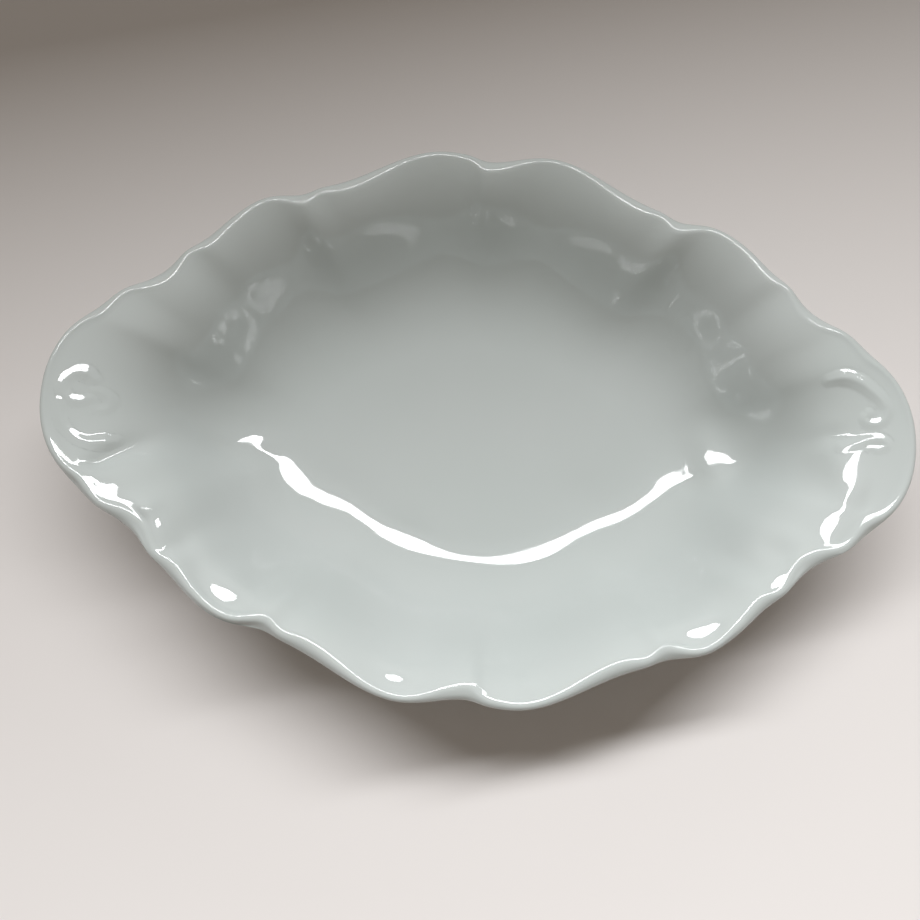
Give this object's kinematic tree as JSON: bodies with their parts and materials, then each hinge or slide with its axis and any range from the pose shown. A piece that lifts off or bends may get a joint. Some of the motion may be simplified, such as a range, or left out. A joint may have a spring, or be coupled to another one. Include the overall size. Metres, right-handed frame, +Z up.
{
  "type": "oval serving bowl",
  "caption": "Long white glazed porcelain serving bowl with a scalloped rim, soft wall ribs, scroll relief at both ends and an oval foot ring.",
  "frame": {"origin": "middle of the foot ring's bearing edge, on the surface that the bowl stands on", "axes": "+X along the long axis towards the right end, +Y across the bowl, +Z up out of the bowl"},
  "size_m": [0.3024, 0.195, 0.0549],
  "materials": {
    "glaze": "glossy clear glaze over white porcelain",
    "foot": "glazed sides with a bare, unglazed bearing edge"
  },
  "bodies": {
    "root": {"bowl_body": "glaze", "foot_ring": "foot", "right_scroll": "glaze", "right_curl": "glaze", "left_scroll": "glaze", "left_curl": "glaze"}
  },
  "joints": []
}
